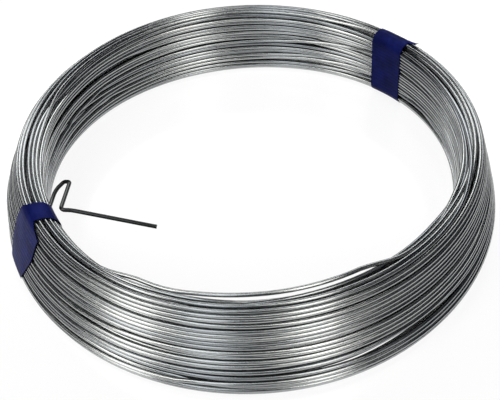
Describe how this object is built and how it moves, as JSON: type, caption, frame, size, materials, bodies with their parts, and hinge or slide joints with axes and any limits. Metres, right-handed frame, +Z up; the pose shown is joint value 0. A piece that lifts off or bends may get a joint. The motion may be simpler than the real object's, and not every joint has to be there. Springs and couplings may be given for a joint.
{
  "type": "coil of wire",
  "caption": "Coil of galvanized iron wire in a rounded bundle, bound by bands of blue tape, with its free end bent out over the eye.",
  "frame": {"origin": "centre of the coil at the level of its underside", "axes": "+Z up along the coil's axis as it lies flat, +X to the right and +Y to the back, with the free end at the left"},
  "size_m": [0.2118, 0.2118, 0.0386],
  "materials": {
    "galvanized_wire": "bright zinc coating, drawn lengthwise, slightly dulled",
    "blue_tape": "semi-gloss vinyl tape, dark blue"
  },
  "bodies": {
    "root": {"wire_coil": "galvanized_wire", "left_tape_band": "blue_tape", "back_tape_band": "blue_tape"}
  },
  "joints": []
}
